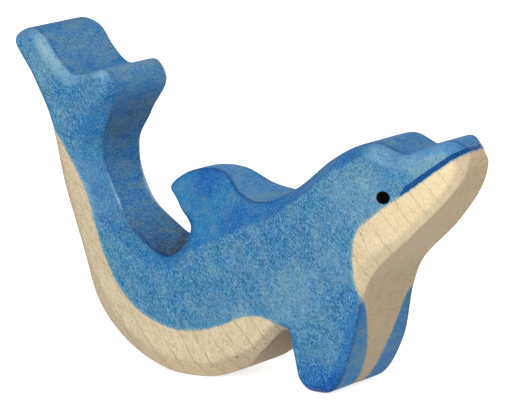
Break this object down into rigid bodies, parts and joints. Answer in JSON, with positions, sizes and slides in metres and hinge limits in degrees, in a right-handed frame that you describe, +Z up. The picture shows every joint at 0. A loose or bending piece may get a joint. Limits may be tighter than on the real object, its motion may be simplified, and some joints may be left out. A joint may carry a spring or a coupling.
{
  "type": "wooden dolphin figurine",
  "caption": "Flat-sided wooden dolphin sawn from one board, leaping with its tail raised, stained blue over a bare belly and throat; stands on its belly and fin.",
  "frame": {"origin": "on the ground, below the middle of the part's box", "axes": "+X towards the nose, +Y towards the dolphin's left flank, across the board, +Z up"},
  "size_m": [0.1282, 0.028, 0.0847],
  "materials": {
    "maple": "bare sanded maple with fine grain and short ray flecks",
    "blue_stain": "thin satin blue water stain with the wood's flecks showing through",
    "mouth_paint": "hand-brushed deep blue stroke, satin",
    "eye_paint": "round dot of black paint, satin"
  },
  "bodies": {
    "root": {"body": "maple", "blue_stain": "blue_stain", "mouth_line": "mouth_paint", "eye_left": "eye_paint", "eye_right": "eye_paint"}
  },
  "joints": []
}
